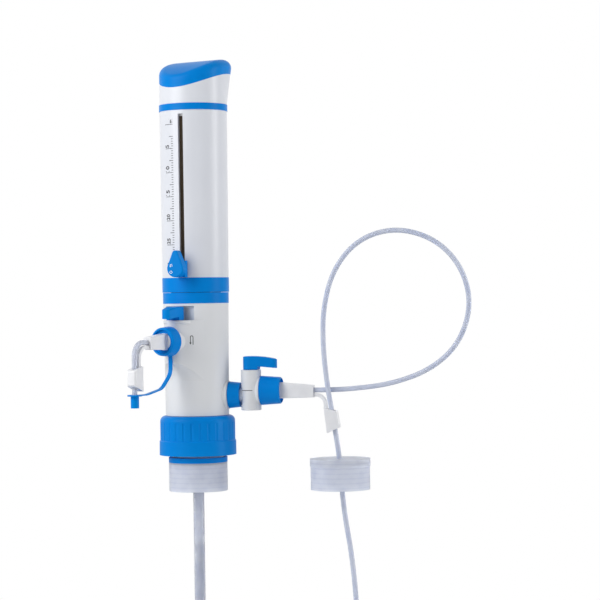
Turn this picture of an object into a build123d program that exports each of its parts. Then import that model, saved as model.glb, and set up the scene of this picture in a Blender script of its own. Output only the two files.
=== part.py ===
from build123d import *
import os
from math import cos, pi, radians, sin, tan

# Bottle top dispenser, 30 mL, with a second inlet. Millimetres, +Z up.
# The origin is the centre of the bottle's rim, where it seats under the adapter's roof.
# The nozzle points along -Y, and the second inlet points 21 degrees from +X towards +Y.

# --- fits ---
running_gap = 0.06  # radial, between pieces that turn or slide on each other
seat_gap = 0.03  # radial, between pieces that are fixed to each other
face_gap = 0.3  # between the end faces of pieces that move past each other
valve_slack = 0.02  # under a valve ball on its seat

# --- directions, degrees from +X ---
nozzle_angle = -90.0
inlet_angle = 21.0
slot_angle = -78.0

# --- bottle adapter, for a 45 mm threaded neck ---
thread_major_r = 22.7
thread_ridge = 1.2
thread_root = 0.3  # how far the ridge is sunk into the wall
thread_pitch = 4.0
thread_turns = 3.5
thread_margin = 3.4  # from the skirt's foot to the thread's start
adapter_wall = 1.8
adapter_skirt = 21.4
adapter_rim = 2.5
adapter_web_top = 4.5
adapter_bore_r = 12.0
gasket_thickness = 1.0
spigot_step = 0.7
spigot_wall = 3.0
spigot_top = 20.0
base_ring_proud = 0.15
base_ring_height = 4.2

# --- collar nut ---
nut_gap = 2.1  # between the base ring and the nut
nut_height = 32.8
nut_wall = 9.4
nut_flare = 0.8  # how far the foot stands past the waist
nut_foot_height = 11.6
nut_foot_draft = 0.1
nut_flare_height = 12.4
nut_shoulder_r = 4.5
nut_flutes = 28
flute_r = 2.2
flute_depth = 0.4
flute_low_margin = 12.8
flute_top_margin = 5.6

# --- lower body ---
body_seal_thickness = 0.8
body_flange_thickness = 5.2
body_flange_step = 0.1
body_neck_step = 2.0
body_top_r = 27.3
body_taper = 0.8
body_wall = 3.0
body_floor = 4.1
ledge_thickness = 3.0
ledge_step = 1.0
ring_spigot_wall = 2.97
ring_spigot_height = 5.5
body_ring_proud = 0.3
body_ring_lip = 3.5

# --- valve block and suction valve ---
block_r = 13.0
block_low = 14.0
block_wall = 1.4
channel_r = 2.0
duct_r = 3.3
duct_depth = 4.0
suction_seat_low = 68.0
suction_seat_height = 6.0
suction_seat_r = 1.8
suction_ball_r = 3.2
suction_ball_lift = 1.5
delivery_r = 2.6

# --- intake tube ---
intake_r = 4.6
intake_wall = 1.1
intake_top = 50.0
intake_upper_low = -120.0
intake_lower_wall = 1.0
intake_lower_top = -66.0
intake_lower_low = -205.0
intake_bevel = 4.0

# --- barrel, guard and piston ---
bore_r = 9.0
barrel_wall = 2.2
barrel_seal_thickness = 2.0
barrel_headroom = 13.0  # above the piston at full stroke
barrel_cap_thickness = 5.0
guard_r = 21.0
guard_wall = 2.0
stop_skirt = 6.0
stop_lip = 3.5
stop_bore_r = 6.0
piston_clearance = 4.0
piston_length = 14.0
piston_seal_length = 5.0
piston_seal_depth = 1.2
piston_side_gap = 0.24
rod_r = 4.0
rod_thread_r = 3.0
rod_thread_depth = 7.0
rod_tip = 1.0
rod_nut_height = 4.0
rod_nut_flats = 10.0

# --- moving housing ---
housing_ring_height = 12.1
housing_ring_proud = 0.7
sleeve_proud = 0.5
sleeve_flare = 0.5
sleeve_wall = 2.6
accent_gap = 1.4  # between the stop ring at full lift and the accent ring
accent_height = 5.5
accent_proud = 0.4
accent_depth = 1.1
web_rise = 1.9
web_thickness = 4.0
head_wall = 7.3
flare_rise = 5.9
flare_inset = 1.3
flare_shift = 12.0
flare_height = 40.0
parting_rise = 31.6
parting_r = 100.0
parting_crown = 20.6  # how far behind the axis the parting line is level
cap_height = 12.3
cap_top_r = 76.0
cap_crown = 18.0
cap_round = 6.5
cap_recess_wall = 9.3
cap_recess_drop = 3.3

# --- volume setting ---
full_volume = 30.0  # millilitres
ml_height = 4.0  # height of one millilitre on the scale
slot_width = 4.4
slot_margin = 2.1
slot_top_margin = 3.2
carriage_half_width = 4.7
carriage_drop = 7.1
carriage_rise = 6.6
carriage_proud = 4.7
carriage_edge = 1.6
stem_side_gap = 0.2
stem_half_height = 4.9
shoe_thickness = 3.3
shoe_half_width = 6.0
shoe_half_height = 6.6
knob_stand_off = 3.0
knob_thickness = 8.0
knob_stem_r = 4.2
knob_r = 7.2
knob_tip_r = 2.6
knob_tip_reach = 12.4
knob_edge = 1.2
clamp_screw_r = 1.6
clamp_screw_grip = 5.0
screw_guard_gap = 1.0

# --- nozzle side ---
nozzle_z = 104.3
plug_stand_off = 2.0
plug_r = 6.0
plug_depth = 16.3
plug_stem_r = 3.2
duct_end_gap = 0.5
neck_front_wall = 2.2
neck_rise = 17.2
nose_r = 10.2
nose_drop = 34.3
nose_cove_r = 18.0
nose_sink = 0.05
platform_r = 13.5
platform_edge = 2.2
platform_taper = 7.3
pocket_r = 15.3
pocket_depth = 8.8
pocket_headroom = 0.4
pocket_roof = 1.1
tower_depth = 11.8
tower_drop = 40.3
stub_r = 9.0
stub_bore_r = 3.6
stub_bore_sink = 0.5
nozzle_stub_length = 6.5
discharge_ball_r = 2.5
spring_wire_r = 0.2
spring_r = 1.9
spring_turns = 3.5
tether_ring_thickness = 1.2
tether_ring_wall = 2.0
union_flange_step = 0.4
union_flange_thickness = 1.8
union_neck_step = 2.0
union_lip = 1.4
union_cup = 2.4
nozzle_nut_wall = 3.4
nozzle_nut_front_wall = 2.7
nut_cup_gap = 0.9
nut_front_chamfer = 0.9
nut_back_chamfer = 0.6
nut_rib_r = 2.0
nut_rib_margin = 2.0

# --- spout arms ---
tube_r = 2.1
tube_bore_r = 1.3
arm_root_height = 13.4
arm_end_height = 10.3
arm_width = 9.0
arm_end_width = 7.6
nozzle_arm_length = 22.5
inlet_arm_length = 29.5
arm_edge = 1.0
arm_belly_rise = 0.7
nozzle_reach = 40.5
inlet_reach = 44.0
spine_thickness = 2.6
spine_width = 4.4
spine_drop = 4.0
spine_splay = 0.6
spine_bend_r = 8.0
collar_inner = 5.8
collar_outer = 4.8
collar_width = 9.2
collar_slant = 3.2
collar_edge = 2.2
nozzle_collar_drop = 20.6
nozzle_collar_length = 15.4
nozzle_collar_lean = 0.0
inlet_collar_drop = 16.0
inlet_collar_length = 16.5
inlet_collar_lean = 8.5
nozzle_tube_bend_r = 11.0
inlet_eye_r = 3.6
eye_overrun = 6.0

# --- nozzle cap and tether ---
cap_gap = 5.8  # between the collar and the cap
cap_flange_r = 6.0
cap_flange_thickness = 1.2
cap_body_r = 3.4
cap_body_length = 9.6
cap_floor = 1.4
cap_floor_gap = 0.7
tether_thickness = 1.1
tether_width = 3.4
tether_drop = 26.5
tether_sag = 38.5
tether_sag_out = 13.0
tether_rise_out = 34.0
tether_bends = [12.0, 14.0, 30.0]

# --- side valve ---
coupling_z = 58.5
inlet_rise = 3.5
boss_r = 12.4
boss_proud = 0.3
boss_edge = 1.5
boss_sink = 2.0
coupling_spigot_r = 8.0
coupling_spigot_length = 6.4
coupling_ring_wall = 3.2
coupling_ring_front_wall = 2.2
coupling_flange_thickness = 1.6
coupling_neck_step = 2.0
coupling_lip = 1.8
stopcock_stand_off = 0.48
stopcock_r = 8.4
stopcock_wall = 2.84
stopcock_drop = 16.4
stopcock_rise = 17.2
stopcock_floor = 3.4
stopcock_edge = 0.8
flare_back_r = 6.5
flare_root = 4.0
flare_rim = 1.4
flare_front_wall = 2.6
flare_length = 8.2
inlet_stub_length = 12.0
inlet_nut_wall = 3.2
inlet_nut_front_wall = 2.1
inlet_nut_ribs = 12
inlet_nut_rib_depth = 0.3

# --- valve levers ---
lever_hub_r = 6.5
lever_crown = 0.3
lever_height = 11.2
lever_reach = 22.3
lever_tip_r = 4.2
lever_tip_top = 8.4
lever_gap_hub = 2.7
lever_gap_tip = 1.0
lever_edge = 1.0
lever_gap_run = 0.4

# --- second bottle's adapter ---
second_distance = 121.0
second_wall = 1.9
second_lip_proud = 0.5
second_lip_height = 6.0
second_lip_chamfer = 0.8
second_skirt = 20.3
second_roof = 4.2
second_bore_r = 3.3

# --- worked out: radii that fit each other ---
spigot_r = thread_major_r - spigot_step
body_neck_r = spigot_r - body_neck_step
housing_ring_r = body_top_r + housing_ring_proud
sleeve_low_r = body_top_r + sleeve_proud
tether_ring_r = stub_r + tether_ring_wall
union_flange_r = stub_r - union_flange_step
union_neck_r = stub_r - union_neck_step
nozzle_nut_back_r = stub_r + nozzle_nut_wall
nozzle_nut_front_r = stub_r + nozzle_nut_front_wall
nut_cup_r = stub_r + nut_cup_gap
coupling_ring_back_r = coupling_spigot_r + coupling_ring_wall
coupling_ring_front_r = coupling_spigot_r + coupling_ring_front_wall
coupling_neck_r = coupling_spigot_r - coupling_neck_step
flare_front_r = stub_r + flare_front_wall
inlet_nut_back_r = stub_r + inlet_nut_wall
inlet_nut_front_r = stub_r + inlet_nut_front_wall

# --- worked out: from the adapter up to the body ---
adapter_r = thread_major_r + adapter_wall
base_ring_r = adapter_r + base_ring_proud
nut_low = adapter_rim + base_ring_height + nut_gap
nut_top = nut_low + nut_height
nut_waist_r = spigot_r + nut_wall
nut_skirt_r = nut_waist_r + nut_flare
nut_foot_r = nut_skirt_r - nut_foot_draft
nut_foot_z = nut_low + nut_foot_height
nut_waist_z = nut_low + nut_flare_height
flute_low = nut_low + flute_low_margin
flute_high = nut_top - flute_top_margin
body_flange_r = spigot_r - body_flange_step
flange_low = spigot_top + body_seal_thickness
flange_top = flange_low + body_flange_thickness
body_low = nut_top + face_gap
body_low_r = body_top_r - body_taper
cavity_low = body_low + body_floor

# --- worked out: nozzle side and lower body ---
plug_distance = body_top_r + plug_stand_off
plug_floor = nozzle_z - plug_depth
neck_front = plug_distance + plug_r + neck_front_wall
neck_top = nozzle_z + neck_rise
nose_low = nozzle_z - nose_drop
nose_distance = neck_front - nose_r
platform_distance = neck_front - platform_r
tower_back = plug_distance - tower_depth
tower_low = nozzle_z - tower_drop
pocket_back = plug_distance - pocket_depth
pocket_top = neck_top + face_gap + lever_height + pocket_headroom
ledge_top = pocket_top + pocket_roof
body_top = ledge_top + ledge_step
ring_spigot_r = guard_r + seat_gap + ring_spigot_wall
ring_spigot_top = body_top + ring_spigot_height
body_ring_r = body_top_r + body_ring_proud
body_ring_top = ring_spigot_top + body_ring_lip
nozzle_stub_end = neck_front + nozzle_stub_length
nozzle_nut_back = neck_front + tether_ring_thickness + face_gap
nozzle_collar_top = -nozzle_collar_drop
nozzle_collar_low = nozzle_collar_top - nozzle_collar_length
cap_flange_top = nozzle_collar_low - cap_gap
nozzle_tube_tip = cap_flange_top - cap_flange_thickness - cap_body_length + cap_floor + cap_floor_gap

# --- worked out: pump, housing and volume setting ---
intake_bore_r = intake_r - intake_wall
suction_seat_top = suction_seat_low + suction_seat_height
block_top = nozzle_z + duct_r + block_wall
barrel_low = block_top + barrel_seal_thickness
barrel_r = bore_r + barrel_wall
stroke = full_volume * ml_height
piston_low = barrel_low + piston_clearance
piston_top = piston_low + piston_length
barrel_top = piston_top + stroke + barrel_headroom
housing_low = body_ring_top + face_gap
housing_ring_top = housing_low + housing_ring_height
carriage_low = housing_ring_top + face_gap
scale_full_z = carriage_low + carriage_drop
carriage_high = scale_full_z + carriage_rise
shoe_top = scale_full_z + shoe_half_height
stop_low = shoe_top + stroke + face_gap
accent_low = stop_low + stop_lip + accent_gap
web_low = accent_low + web_rise
slot_low = housing_ring_top + slot_margin
slot_top = accent_low - slot_top_margin
sleeve_high_r = sleeve_low_r + sleeve_flare
sleeve_bore_r = sleeve_low_r - sleeve_wall
accent_groove_r = sleeve_high_r - accent_depth
head_cavity_r = sleeve_high_r - head_wall
flare_low = accent_low + flare_rise
flare_high = flare_low + flare_height
flare_r = sleeve_high_r - flare_inset
parting_z = accent_low + parting_rise
cap_top_z = parting_z + cap_height
cap_recess_r = sleeve_high_r - cap_recess_wall
cap_recess_top = parting_z - cap_recess_drop
carriage_front_r = sleeve_high_r + carriage_proud
knob_back_r = carriage_front_r + knob_stand_off
knob_front_r = knob_back_r + knob_thickness

# --- worked out: second inlet ---
inlet_z = coupling_z + inlet_rise
boss_front = body_top_r + boss_proud
coupling_back = boss_front + face_gap
coupling_seat = boss_front + coupling_spigot_length + running_gap
coupling_flange_front = coupling_seat + coupling_flange_thickness
coupling_front = coupling_flange_front + running_gap + coupling_lip
stopcock_distance = coupling_front + stopcock_stand_off + stopcock_r
stopcock_low = inlet_z - stopcock_drop
stopcock_high = inlet_z + stopcock_rise
stopcock_plug_r = stopcock_r - stopcock_wall - running_gap
stopcock_plug_floor = stopcock_low + stopcock_floor
flare_front = stopcock_distance + flare_length
inlet_stub_end = flare_front + inlet_stub_length
inlet_collar_top = -inlet_collar_drop
inlet_collar_low = inlet_collar_top - inlet_collar_length
second_r = thread_major_r + second_wall
second_lip_r = second_r + second_lip_proud
second_seat = gasket_thickness
second_top = second_seat + second_roof


def radial(angle):
    return (cos(radians(angle)), sin(radians(angle)), 0)


def radial_plane(angle, height, distance=0.0):
    # faces outwards along the angle, with local y up
    out = radial(angle)
    across = (-out[1], out[0], 0)
    return Plane(origin=(out[0] * distance, out[1] * distance, height), x_dir=across, z_dir=out)


def section_plane(angle, height=0.0, distance=0.0, turn=0.0):
    # upright plane through the axis, with local x outwards and local y up
    out, along = radial(angle), radial(angle + turn)
    origin = (out[0] * distance, out[1] * distance, height)
    return Plane(origin=origin, x_dir=along, z_dir=(along[1], -along[0], 0))


def plan_plane(angle, height, distance=0.0, turn=0.0):
    # level plane, with local x outwards along the angle
    out = radial(angle)
    origin = (out[0] * distance, out[1] * distance, height)
    return Plane(origin=origin, x_dir=radial(angle + turn), z_dir=(0, 0, 1))


def radial_axis(angle, height):
    return Axis((0, 0, height), radial(angle))


def turned(points, plane=Plane.XZ, axis=Axis.Z):
    with BuildPart() as piece:
        with BuildSketch(plane):
            with BuildLine():
                Polyline(*points, close=True)
            make_face()
        revolve(axis=axis)
    return piece


def ring(inner_r, outer_r, low, high):
    return turned([(inner_r, low), (outer_r, low), (outer_r, high), (inner_r, high)])


def radial_turned(points, angle, height):
    # points are (distance from the main axis, radius about the radial axis)
    return turned(points, section_plane(angle, height), radial_axis(angle, height))


def radial_ring(angle, height, inner_r, outer_r, back, front):
    points = [(back, inner_r), (back, outer_r), (front, outer_r), (front, inner_r)]
    return radial_turned(points, angle, height)


def save(piece, name):
    piece.part.label = name
    export_step(piece.part, f"parts/{name}.step")


os.makedirs("parts", exist_ok=True)

# ------------------------------------------------------------------ bottle adapter
thread_length = thread_pitch * thread_turns


def make_thread(low, plane=Plane.XY):
    # the helical ridge that grips a bottle's neck, about the plane's origin
    with BuildPart() as ridge:
        with BuildLine() as path:
            Helix(thread_pitch, thread_length, thread_major_r, center=(0, 0, low))
        with BuildSketch(Plane(origin=(thread_major_r, 0, low), x_dir=(1, 0, 0), z_dir=(0, 1, 0))):
            with BuildLine():
                Polyline(
                    (thread_root, -thread_ridge),
                    (thread_root, thread_ridge),
                    (-thread_ridge, thread_ridge / 3),
                    (-thread_ridge, -thread_ridge / 3),
                    close=True,
                )
            make_face()
        sweep(path=path.wires()[0], is_frenet=True)
    return plane.location * ridge.part


with BuildPart() as bottle_adapter:
    with BuildSketch(Plane.XZ):
        with BuildLine():
            Polyline(
                (adapter_r, -adapter_skirt),
                (adapter_r, adapter_rim),
                (spigot_r, adapter_rim),
                (spigot_r, adapter_web_top),
                (adapter_bore_r, adapter_web_top),
                (adapter_bore_r, gasket_thickness),
                (thread_major_r, gasket_thickness),
                (thread_major_r, -adapter_skirt),
                close=True,
            )
        make_face()
    revolve(axis=Axis.Z)
    add(make_thread(thread_margin - adapter_skirt))
save(bottle_adapter, "bottle_adapter")
save(ring(spigot_r - spigot_wall, spigot_r, adapter_web_top, spigot_top), "adapter_spigot")

save(ring(adapter_bore_r + face_gap, thread_major_r - face_gap, 0, gasket_thickness), "adapter_gasket")
save(ring(spigot_r + seat_gap, base_ring_r, adapter_rim, adapter_rim + base_ring_height), "base_ring")
body_seal_bore = spigot_r - spigot_wall + face_gap
save(ring(body_seal_bore, body_flange_r, spigot_top, flange_low), "body_seal")

# ------------------------------------------------------------------ collar nut
with BuildPart() as collar_nut:
    with BuildSketch(Plane.XZ):
        with BuildLine():
            Polyline(
                (spigot_r + running_gap, nut_low),
                (nut_skirt_r, nut_low),
                (nut_foot_r, nut_foot_z),
                (nut_waist_r, nut_waist_z),
                (nut_waist_r, nut_top - nut_shoulder_r),
            )
            RadiusArc(
                (nut_waist_r, nut_top - nut_shoulder_r),
                (nut_waist_r - nut_shoulder_r, nut_top),
                -nut_shoulder_r,
            )
            Polyline(
                (nut_waist_r - nut_shoulder_r, nut_top),
                (body_neck_r + running_gap, nut_top),
                (body_neck_r + running_gap, flange_top + running_gap),
                (spigot_r + running_gap, flange_top + running_gap),
                (spigot_r + running_gap, nut_low),
            )
        make_face()
    revolve(axis=Axis.Z)
    with BuildSketch(Plane.XY.offset(flute_low)):
        with PolarLocations(nut_waist_r + flute_r - flute_depth, nut_flutes):
            Circle(flute_r)
    extrude(amount=flute_high - flute_low, mode=Mode.SUBTRACT)
save(collar_nut, "collar_nut")

# ------------------------------------------------------------------ lower body
cavity_r = body_low_r - body_wall
guard_seat_r = guard_r + seat_gap
ledge_low = ledge_top - ledge_thickness

body_draft = (body_top_r - body_low_r) / (body_top - body_low)
nose_back_r = body_low_r + (nose_low - body_low) * body_draft - nose_sink
cove_front = neck_front + face_gap
cove_top = nose_low + (nose_cove_r**2 - (nose_back_r + nose_cove_r - cove_front) ** 2) ** 0.5

platform_low = neck_top - platform_edge
platform = turned(
    [
        (0, neck_top),
        (platform_r, neck_top),
        (platform_r, platform_low),
        (platform_r - platform_taper, platform_low - platform_taper),
        (0, platform_low - platform_taper),
    ]
)

# the nose runs smoothly out of the body to the nozzle, and curves back in below it
with BuildPart() as nozzle_neck:
    for height in (nose_low, neck_top):
        with BuildSketch(plan_plane(nozzle_angle, height)):
            Circle(nose_back_r + (height - nose_low) * body_draft)
            with Locations((nose_distance, 0)):
                Circle(nose_r)
            make_hull()
    loft()
    with BuildSketch(Plane.XZ):
        with BuildLine():
            RadiusArc((nose_back_r, nose_low), (cove_front, cove_top), nose_cove_r)
            Polyline((cove_front, cove_top), (cove_front, nose_low), (nose_back_r, nose_low))
        make_face()
    revolve(axis=Axis.Z, mode=Mode.SUBTRACT)
    with BuildSketch(radial_plane(nozzle_angle, nozzle_z, plug_distance)):
        Circle(nose_r)
    extrude(amount=neck_front - plug_distance)
    add(plan_plane(nozzle_angle, 0, platform_distance).location * platform.part)
    with BuildSketch(plan_plane(nozzle_angle, nose_low)):
        with Locations((tower_back - 2 * body_top_r, 0)):
            Rectangle(4 * body_top_r, 4 * body_top_r)
    extrude(amount=neck_top - nose_low, mode=Mode.SUBTRACT)

with BuildPart() as lower_body:
    with BuildSketch(Plane.XZ):
        with BuildLine():
            Polyline(
                (block_r + seat_gap, flange_low),
                (body_flange_r, flange_low),
                (body_flange_r, flange_top),
                (body_neck_r, flange_top),
                (body_neck_r, body_low),
                (body_low_r, body_low),
                (body_top_r, body_top),
                (ring_spigot_r, body_top),
                (ring_spigot_r, ring_spigot_top),
                (guard_seat_r, ring_spigot_top),
                (guard_seat_r, ledge_top),
                (barrel_r + seat_gap, ledge_top),
                (barrel_r + seat_gap, ledge_low),
                (cavity_r, ledge_low),
                (cavity_r, cavity_low),
                (block_r + seat_gap, cavity_low),
                close=True,
            )
        make_face()
    revolve(axis=Axis.Z)
    # the thick front wall that carries the valve pocket
    with BuildSketch(plan_plane(nozzle_angle, tower_low)):
        Circle(cavity_r + 1.0)
        with Locations((tower_back - 2 * body_top_r, 0)):
            Rectangle(4 * body_top_r, 4 * body_top_r, mode=Mode.SUBTRACT)
    extrude(amount=ledge_low + 1.0 - tower_low)
    add(nozzle_neck.part)
    # the pocket that the lever's hub turns in
    with BuildSketch(plan_plane(nozzle_angle, neck_top)):
        with Locations((plug_distance, 0)):
            Circle(pocket_r)
        with Locations((pocket_back - pocket_r, 0)):
            Rectangle(2 * pocket_r, 4 * pocket_r, mode=Mode.SUBTRACT)
    extrude(amount=pocket_top - neck_top, mode=Mode.SUBTRACT)
    # threaded stub for the nozzle nut, and the bores behind it
    with BuildSketch(radial_plane(nozzle_angle, nozzle_z, plug_distance)):
        Circle(stub_r)
    extrude(amount=nozzle_stub_end - plug_distance)
    with BuildSketch(plan_plane(nozzle_angle, plug_floor, plug_distance)):
        Circle(plug_r + running_gap)
    extrude(amount=neck_top - plug_floor, mode=Mode.SUBTRACT)
    with BuildSketch(radial_plane(nozzle_angle, nozzle_z, block_r)):
        Circle(duct_r + seat_gap)
    extrude(amount=plug_distance - block_r, mode=Mode.SUBTRACT)
    with BuildSketch(radial_plane(nozzle_angle, nozzle_z, plug_distance)):
        Circle(channel_r)
    extrude(amount=nozzle_stub_end - plug_distance, mode=Mode.SUBTRACT)
    with BuildSketch(radial_plane(nozzle_angle, nozzle_z, neck_front - stub_bore_sink)):
        Circle(stub_bore_r)
    extrude(amount=nozzle_stub_length + stub_bore_sink, mode=Mode.SUBTRACT)
    # boss and threaded spigot for the second inlet
    with BuildSketch(radial_plane(inlet_angle, coupling_z, cavity_r - boss_sink)):
        Circle(boss_r)
    extrude(amount=boss_front - cavity_r + boss_sink)
    fillet(lower_body.faces().sort_by(Axis((0, 0, 0), radial(inlet_angle)))[-1].edges(), boss_edge)
    with BuildSketch(radial_plane(inlet_angle, coupling_z, boss_front)):
        Circle(coupling_spigot_r)
    extrude(amount=coupling_spigot_length)
    with BuildSketch(radial_plane(inlet_angle, coupling_z, block_r)):
        Circle(duct_r + seat_gap)
    extrude(amount=boss_front + coupling_spigot_length - block_r, mode=Mode.SUBTRACT)
save(lower_body, "lower_body")

body_ring_profile = [
    (ring_spigot_r + seat_gap, body_top),
    (body_ring_r, body_top),
    (body_ring_r, body_ring_top),
    (guard_r + seat_gap, body_ring_top),
    (guard_r + seat_gap, ring_spigot_top),
    (ring_spigot_r + seat_gap, ring_spigot_top),
]
save(turned(body_ring_profile), "body_top_ring")

# ------------------------------------------------------------------ valve block and suction valve
ball_rest_z = suction_seat_top + (suction_ball_r**2 - suction_seat_r**2) ** 0.5 + valve_slack
ball_chamber_top = ball_rest_z + suction_ball_r + suction_ball_lift + running_gap
duct_back = block_r - duct_depth
with BuildPart() as valve_block:
    with BuildSketch(Plane.XZ):
        with BuildLine():
            Polyline(
                (intake_r + seat_gap, block_low),
                (block_r, block_low),
                (block_r, block_top),
                (delivery_r, block_top),
                (delivery_r, ball_chamber_top),
                (intake_r + seat_gap, ball_chamber_top),
                close=True,
            )
        make_face()
    revolve(axis=Axis.Z)
    for angle, height in ((nozzle_angle, nozzle_z), (inlet_angle, coupling_z)):
        with BuildSketch(radial_plane(angle, height)):
            Circle(channel_r)
        extrude(amount=block_r, mode=Mode.SUBTRACT)
        with BuildSketch(radial_plane(angle, height, duct_back)):
            Circle(duct_r + seat_gap)
        extrude(amount=duct_depth + 1.0, mode=Mode.SUBTRACT)
save(valve_block, "valve_block")

save(ring(suction_seat_r, intake_r, suction_seat_low, suction_seat_top), "suction_valve_seat")
with BuildPart() as suction_ball:
    with Locations((0, 0, ball_rest_z)):
        Sphere(suction_ball_r)
save(suction_ball, "suction_ball")

duct_end = plug_distance - plug_r - duct_end_gap
save(radial_ring(nozzle_angle, nozzle_z, channel_r, duct_r, duct_back, duct_end), "discharge_duct")
inlet_duct_end = boss_front + coupling_spigot_length
save(radial_ring(inlet_angle, coupling_z, channel_r, duct_r, duct_back, inlet_duct_end), "inlet_duct")

# ------------------------------------------------------------------ intake tube
save(ring(intake_bore_r, intake_r, intake_upper_low, intake_top), "intake_tube_upper")
lower_tube_r = intake_bore_r - running_gap
with BuildPart() as intake_tube_lower:
    with BuildSketch(Plane.XY.offset(intake_lower_low)):
        Circle(lower_tube_r)
        Circle(lower_tube_r - intake_lower_wall, mode=Mode.SUBTRACT)
    extrude(amount=intake_lower_top - intake_lower_low)
    # the slanted end, which keeps the mouth open on the bottle's floor
    with BuildSketch(Plane.XZ):
        with BuildLine():
            Polyline(
                (-lower_tube_r - 1, intake_lower_low - 1),
                (lower_tube_r + 1, intake_lower_low - 1),
                (lower_tube_r + 1, intake_lower_low + intake_bevel),
                close=True,
            )
        make_face()
    extrude(amount=2 * lower_tube_r, both=True, mode=Mode.SUBTRACT)
save(intake_tube_lower, "intake_tube_lower")

# ------------------------------------------------------------------ barrel, guard and piston
save(ring(delivery_r, barrel_r, block_top, barrel_low), "barrel_seal")
save(ring(bore_r, barrel_r, barrel_low, barrel_top), "glass_barrel")
guard_bore_r = guard_r - guard_wall
barrel_cap_r = guard_bore_r - seat_gap
save(ring(rod_r + running_gap, barrel_cap_r, barrel_top, barrel_top + barrel_cap_thickness), "barrel_cap")
save(ring(guard_bore_r, guard_r, ledge_top, stop_low), "barrel_guard")
stop_ring_profile = [
    (stop_bore_r, stop_low - stop_skirt),
    (guard_bore_r - seat_gap, stop_low - stop_skirt),
    (guard_bore_r - seat_gap, stop_low),
    (sleeve_bore_r - face_gap, stop_low),
    (sleeve_bore_r - face_gap, stop_low + stop_lip),
    (stop_bore_r, stop_low + stop_lip),
]
save(turned(stop_ring_profile), "guard_stop_ring")

seal_low = piston_low + (piston_length - piston_seal_length) / 2
seal_high = seal_low + piston_seal_length
piston_r = bore_r - piston_side_gap
seal_bore_r = piston_r - piston_seal_depth
piston_profile = [
    (0, piston_low),
    (piston_r, piston_low),
    (piston_r, seal_low),
    (seal_bore_r, seal_low),
    (seal_bore_r, seal_high),
    (piston_r, seal_high),
    (piston_r, piston_top),
    (rod_r, piston_top),
    (rod_r, piston_top - rod_thread_depth),
    (0, piston_top - rod_thread_depth),
]
save(turned(piston_profile), "piston_head")
save(ring(seal_bore_r, bore_r - running_gap, seal_low, seal_high), "piston_seal")

web_top = web_low + web_thickness
rod_profile = [
    (0, piston_top - rod_thread_depth),
    (rod_r, piston_top - rod_thread_depth),
    (rod_r, web_low),
    (rod_thread_r, web_low),
    (rod_thread_r, web_top + rod_nut_height + rod_tip),
    (0, web_top + rod_nut_height + rod_tip),
]
save(turned(rod_profile), "piston_rod")
with BuildPart() as rod_nut:
    with BuildSketch(Plane.XY.offset(web_top)):
        RegularPolygon(rod_nut_flats / 2, 6, major_radius=False)
        Circle(rod_thread_r, mode=Mode.SUBTRACT)
    extrude(amount=rod_nut_height)
save(rod_nut, "rod_nut")

# ------------------------------------------------------------------ moving housing
housing_bush_r = guard_r + running_gap
save(ring(housing_bush_r, housing_ring_r, housing_low, housing_ring_top), "housing_bottom_ring")

# the head's outline swells backwards, so that the palm has a rest
with BuildPart() as head_shape:
    with BuildSketch(Plane.XY.offset(flare_low)):
        Circle(sleeve_high_r)
    with BuildSketch(Plane.XY.offset(flare_high)):
        Circle(sleeve_high_r)
        with Locations((0, flare_shift)):
            Circle(flare_r)
        make_hull()
    loft()


def crowned(crown_z, crown_back, radius):
    # everything under an arched surface that is level from side to side
    half = 2 * sleeve_high_r
    middle = crown_z - radius
    with BuildPart() as under:
        with BuildSketch(Plane.YZ):
            with Locations((crown_back, middle)):
                Circle(radius)
            with Locations((crown_back, (middle + housing_low) / 2)):
                Rectangle(2 * radius, middle - housing_low)
        extrude(amount=half, both=True)
    return under


below_parting = crowned(parting_z, parting_crown, parting_r)
below_cap_top = crowned(cap_top_z, cap_crown, cap_top_r)

with BuildPart() as housing_sleeve:
    with BuildSketch(Plane.XZ):
        with BuildLine():
            Polyline(
                (0, housing_ring_top),
                (sleeve_low_r, housing_ring_top),
                (sleeve_high_r, accent_low),
                (accent_groove_r, accent_low),
                (accent_groove_r, accent_low + accent_height),
                (sleeve_high_r, accent_low + accent_height),
                (sleeve_high_r, flare_low),
                (0, flare_low),
                close=True,
            )
        make_face()
    revolve(axis=Axis.Z)
    add(head_shape.part)
    add(below_parting.part, mode=Mode.INTERSECT)
    with BuildSketch(Plane.XY.offset(housing_ring_top)):
        Circle(sleeve_bore_r)
    extrude(amount=web_low - housing_ring_top, mode=Mode.SUBTRACT)
    with BuildSketch(Plane.XY.offset(web_low)):
        Circle(rod_thread_r + seat_gap)
    extrude(amount=web_thickness, mode=Mode.SUBTRACT)
    with BuildSketch(Plane.XY.offset(web_top)):
        Circle(head_cavity_r)
    extrude(amount=flare_high - web_top, mode=Mode.SUBTRACT)
    # the slot that the volume setting rides in
    with BuildSketch(radial_plane(slot_angle, (slot_low + slot_top) / 2, sleeve_bore_r - 2.0)):
        Rectangle(slot_width, slot_top - slot_low)
    extrude(amount=8.0, mode=Mode.SUBTRACT)
save(housing_sleeve, "housing_sleeve")

accent_r = sleeve_high_r + accent_proud
save(ring(accent_groove_r, accent_r, accent_low, accent_low + accent_height), "accent_ring")

with BuildPart() as top_cap:
    add(head_shape.part)
    add(below_cap_top.part, mode=Mode.INTERSECT)
    add(below_parting.part, mode=Mode.SUBTRACT)
    fillet(top_cap.faces().sort_by(Axis.Z)[-1].edges(), cap_round)
    with BuildSketch(Plane.XY.offset(flare_low)):
        Circle(cap_recess_r)
    extrude(amount=cap_recess_top - flare_low, mode=Mode.SUBTRACT)
save(top_cap, "top_cap")

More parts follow.
